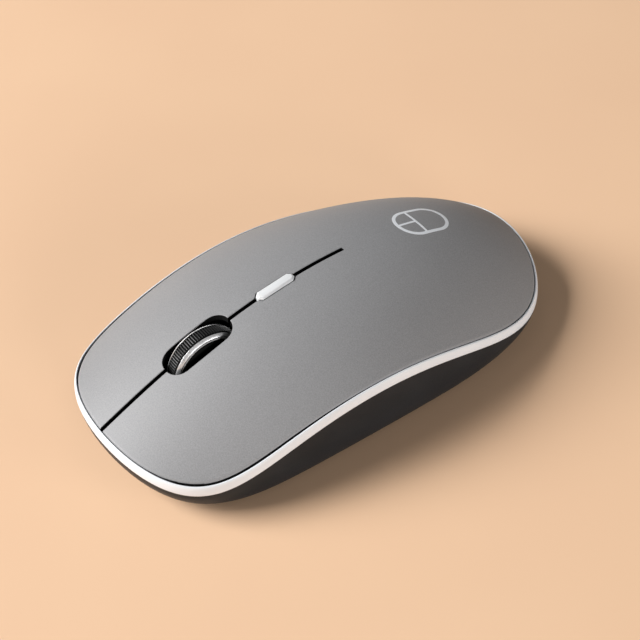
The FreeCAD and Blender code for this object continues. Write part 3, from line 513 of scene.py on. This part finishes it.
def make_cover():
    """Palm and two keys of the one grey moulding, split where the keys meet the palm at the flexure."""
    at_slit = turn_where(lambda point: point.x > SLIT / 2 + 0.05 * MM)
    at_flexure = turn_where(lambda point: point.y > FLEXURE)
    palm = cover_piece("palm_skin", lambda edge: (-edge, edge), at_flexure, TAIL_TIP, PALM_COLUMNS, False)
    finish(palm, "cover_paint", "root")
    black_bare_or_shade(palm, is_wall)
    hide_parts("palm_cover")
    for name, side in (("left_key", 1), ("right_key", -1)):
        key = cover_piece(name + "_skin", lambda edge: (side * SLIT / 2, side * edge),
                          at_slit, at_flexure, KEY_COLUMNS, True)
        cut(key, opening_cutter(well_ring, WELL_LIP))
        cut(key, opening_cutter(button_ring, BUTTON_LIP))
        shade(key, 50)
        finish(key, "cover_paint")
        black_bare_or_shade(key, is_wall)
        level = cover_height(0, FLEXURE)
        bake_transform(key)
        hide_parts(name)


# ---------------------------------------------------------------- rim band

def make_rim():
    """Pale trim band: a rounded lip, a full outer face and a flat underside."""
    profile = [(0.0, 2.4), (0.0, 0.28), (0.05, 0.13), (0.14, 0.04), (0.26, 0.02), (0.38, 0.10),
               (0.50, 0.28), (0.61, 0.60), (0.70, 1.05), (0.76, 1.55), (0.795, 2.05), (0.79, 2.25),
               (0.74, 2.37), (0.66, 2.40)]
    count = 420
    vertices = []
    for offset, drop in profile:
        vertices += [point - Vector((0, 0, drop * MM)) for point in outline(count, offset * MM)]
    rim = mesh_object("rim_band_skin", vertices, ring_faces(len(profile), count, closed=True), 60)
    finish(rim, "rim_silver", "root")
    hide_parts("rim_band")


# ---------------------------------------------------------------- badge on the palm

def with_steps(path, longest, closed):
    """The same path with points added so that no straight run is longer than a given length."""
    ends = path[1:] + path[:1] if closed else path[1:]
    finer = []
    for (x0, y0), (x1, y1) in zip(path, ends):
        parts = max(1, math.ceil(math.hypot(x1 - x0, y1 - y0) / longest))
        finer += [(x0 + (x1 - x0) * k / parts, y0 + (y1 - y0) * k / parts) for k in range(parts)]
    return finer if closed else finer + [path[-1]]


def stroke(name, corners_of_path, width, closed=True):
    """Thin printed line that follows the cover along a path of (x, y) points."""
    section = [(-1, -0.06), (-1, 0.03), (0, 0.035), (1, 0.03), (1, -0.06)]
    path = with_steps(corners_of_path, 0.3 * MM, closed)
    count = len(path)
    vertices = []
    for k, (x, y) in enumerate(path):
        before = path[k - 1] if closed or k else path[k]
        after = path[(k + 1) % count] if closed or k < count - 1 else path[k]
        along = Vector((after[0] - before[0], after[1] - before[1])).normalized()
        across = Vector((-along.y, along.x)) * width / 2
        for sign, rise in section:
            px, py = x + across.x * sign, y + across.y * sign
            vertices.append(Vector((px, py, cover_height(px, py) + rise * MM)))
    corners = len(section)
    faces = ring_faces(count, corners, closed=True) if closed else stack_faces(count, corners)
    return mesh_object(name, vertices, faces, 40)


def make_badge():
    """Plain printed badge: a small outline drawing of a mouse."""
    centre = 29.4 * MM
    length, width, corner, line = 13.0 * MM, 8.6 * MM, 4.2 * MM, 0.8 * MM
    front, split = centre - length / 2, centre - 1.4 * MM
    marks = [stroke("badge_mouse", pill_outline(length, width, corner, centre, 0.0, 16), line),
             stroke("badge_keys", [(-width / 2, split), (width / 2, split)], 0.7 * line, closed=False),
             stroke("badge_slit", [(0, front), (0, split)], 0.7 * line, closed=False)]
    for item in marks:
        finish(item, "rim_silver", "root")


# ---------------------------------------------------------------- scroll wheel and button

WHEEL_CENTRE = sum(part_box("scroll_tyre"), Vector()) / 2
TYRE_RADIUS = span("scroll_tyre", 2) / 2
RIBS, RIB_DEPTH, RIB_HALF_WIDTH = 92, 0.42 * MM, 1.08 * MM
GROOVE_RADIUS = TYRE_RADIUS - 0.28 * MM
RING_STEPS = 240
LINE_OUTSIDE, LINE_INSIDE, BRIGHT_EDGE = 8.05 * MM, 7.83 * MM, 7.53 * MM


def around_axle(x, radius, turn):
    """Point at a radius from the wheel's axle, turned up from straight ahead."""
    return WHEEL_CENTRE + Vector((x, -radius * math.cos(turn), radius * math.sin(turn)))


def axle_distance(face):
    """How far the middle of a face is from the wheel's axle."""
    arm = face.center - WHEEL_CENTRE
    return math.hypot(arm.y, arm.z)


def is_shaded_groove(face):
    """Floors of the tyre's grooves, given a darker, duller black than the rubber as painted shade, and the
    smooth shoulders beside its ribs, which get the same black.
    """
    return abs(face.center.x - WHEEL_CENTRE.x) > RIB_HALF_WIDTH or axle_distance(face) < GROOVE_RADIUS


def is_ring_shade_line(face):
    """The narrow groove turned into the face of a ring, painted black as shade, and everything inside its
    bright edge, which gets the same black.
    """
    radius = axle_distance(face)
    return LINE_INSIDE < radius < LINE_OUTSIDE or radius < BRIGHT_EDGE


def make_tyre():
    """Finely ribbed tyre; crown holds (x, sink, share of the rib depth) across it."""
    teeth = [0.0, 0.05, 0.9, 1.0, 1.0, 1.0, 0.9, 0.05]
    steps = RIBS * len(teeth)
    crown = [(-1.48, 1.3, 0.0), (-1.48, 0.30, 0.0), (-1.40, 0.17, 0.0), (-1.24, 0.10, 0.0),
             (-1.20, 0.0, 1.0), (-0.6, -0.04, 1.0), (0.0, -0.05, 1.0), (0.6, -0.04, 1.0), (1.06, 0.0, 1.0),
             (1.10, 0.10, 0.0), (1.26, 0.17, 0.0), (1.40, 0.26, 0.0), (1.48, 0.40, 0.0), (1.48, 1.3, 0.0)]
    vertices = []
    for k in range(steps):
        for x, sink, share in crown:
            radius = TYRE_RADIUS - (sink + 0.05) * MM - RIB_DEPTH * teeth[k % len(teeth)] * share
            vertices.append(around_axle(x * MM, radius, 2 * math.pi * k / steps))
    tyre = mesh_object("tyre_skin", vertices, ring_faces(steps, len(crown), closed=True), 30)
    finish(tyre, "tyre_rubber", "wheel")
    # Painted shade: the groove floors get a darker, duller black than the rubber; the shoulders beside the
    # ribs get the same black.
    black_bare_or_shade(tyre, is_shaded_groove)
    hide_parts("scroll_tyre")


def make_rings():
    """Two bright bevelled rings beside the tyre; section holds (x, radius) of the left one."""
    section = [(1.48, 7.25), (1.48, 8.60), (1.53, 8.67), (1.60, 8.66), (1.82, 8.46), (2.06, 8.20),
               (2.14, 8.08), (2.12, 8.04), (1.95, 8.02), (1.95, 7.84), (2.14, 7.82), (2.22, 7.76),
               (2.24, 7.66), (2.22, 7.56), (2.14, 7.52), (1.95, 7.25)]
    for name, side in (("left_ring", 1), ("right_ring", -1)):
        vertices = [around_axle(side * x * MM, radius * MM, 2 * math.pi * k / RING_STEPS)
                    for k in range(RING_STEPS) for x, radius in section]
        ring = mesh_object(name, vertices, ring_faces(RING_STEPS, len(section), closed=True), 40)
        finish(ring, "bright_chrome", "wheel")
        # Painted shade: the ring's narrow groove is painted black; the faces inside its bright edge get
        # the same black.
        black_bare_or_shade(ring, is_ring_shade_line)
        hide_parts("scroll_rings")


def make_button():
    """Button pressed straight down: a bar with cut corners and a wide bevel all round its top."""
    levels = [(0.0, -3.0), (0.0, 0.10), (-0.03, 0.17), (-0.34, 0.47), (-0.42, 0.52), (-0.52, 0.54)]
    rings = [bar_outline(BUTTON_LENGTH, BUTTON_WIDTH, BUTTON_PLACE, grow * MM) for grow, rise in levels]
    vertices = []
    for ring, (grow, rise) in zip(rings, levels):
        vertices += [Vector((x, y, cover_height(0, y) + rise * MM)) for x, y in ring]
    button = mesh_object("button_cap", vertices, stack_faces(len(rings), len(rings[0])), 22)
    finish(button, "button_plastic", "dpi")
    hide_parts("dpi_button")


make_cover()
make_rim()
make_badge()
make_tyre()
make_rings()
make_button()

# ---------------------------------------------------------------- camera, light and floor

LIGHT_DISTANCE = 2.0


def direction(azimuth, elevation):
    """Unit vector out from the mouse; azimuth 0 is beyond the nose, 90 on the +X side, in degrees."""
    turn, rise = math.radians(azimuth), math.radians(elevation)
    return Vector((math.sin(turn) * math.cos(rise), -math.cos(turn) * math.cos(rise), math.sin(rise)))


def aim_camera():
    """Camera beyond the nose on the user's left, looking down, and rolled a little."""
    azimuth, elevation, roll = 55.30, 43.87, math.radians(-2.07)
    distance, lens, sensor = 305.6 * MM, 77.479, 36.0
    target = Vector((1.86, -0.41, 12.0)) * MM
    back = direction(azimuth, elevation)
    level = direction(azimuth + 90, 0)
    upward = back.cross(level)
    right = level * math.cos(roll) + upward * math.sin(roll)
    up = upward * math.cos(roll) - level * math.sin(roll)
    data = bpy.data.cameras.new("camera")
    data.sensor_width = sensor
    data.lens = lens
    data.clip_start = 0.01
    camera = bpy.data.objects.new("camera", data)
    turn = Matrix((right, up, back)).transposed().to_4x4()
    camera.matrix_world = Matrix.Translation(target + back * distance) @ turn
    bpy.context.scene.collection.objects.link(camera)
    bpy.context.scene.camera = camera


def softbox(name, azimuth, elevation, power, size):
    """Square soft light that looks at the mouse."""
    place = direction(azimuth, elevation) * LIGHT_DISTANCE
    data = bpy.data.lights.new(name, "AREA")
    data.size = size
    data.energy = power
    light = bpy.data.objects.new(name, data)
    light.location = place
    light.rotation_euler = (Vector((0, 0, 10 * MM)) - place).to_track_quat("-Z", "Y").to_euler()
    bpy.context.scene.collection.objects.link(light)


def make_floor():
    """Pale warm floor with a faint mottle."""
    reach = 3.0
    corners = [(-reach, -reach, 0), (reach, -reach, 0), (reach, reach, 0), (-reach, reach, 0)]
    floor = mesh_object("floor", corners, [(0, 1, 2, 3)])
    nodes = Nodes("floor")
    mottle = nodes.ramp(nodes.noise(60 * MM, 2), 0.3, 0.7, (0.81, 0.530, 0.337), (0.83, 0.550, 0.350))
    floor.data.materials.append(nodes.finish(Base_Color=mottle, Roughness=0.8))


def light_room():
    """A large soft key beyond the nose, weaker light from the sides, and a dim even room."""
    softbox("low_key", 330, 16, 4, 1.0)
    softbox("key", 322, 33, 67, 1.1)
    softbox("nose", 350, 25, 1.5, 1.1)
    softbox("near_side", 84, 10, 15, 0.6)
    softbox("tail_side", 115, 12, 12, 0.8)
    world = bpy.data.worlds.new("room")
    bpy.context.scene.world = world
    world.use_nodes = True
    background = world.node_tree.nodes["Background"]
    background.inputs["Color"].default_value = (1, 1, 1, 1)
    background.inputs["Strength"].default_value = 0.07


aim_camera()
make_floor()
light_room()
bpy.context.scene.view_settings.view_transform = "Standard"
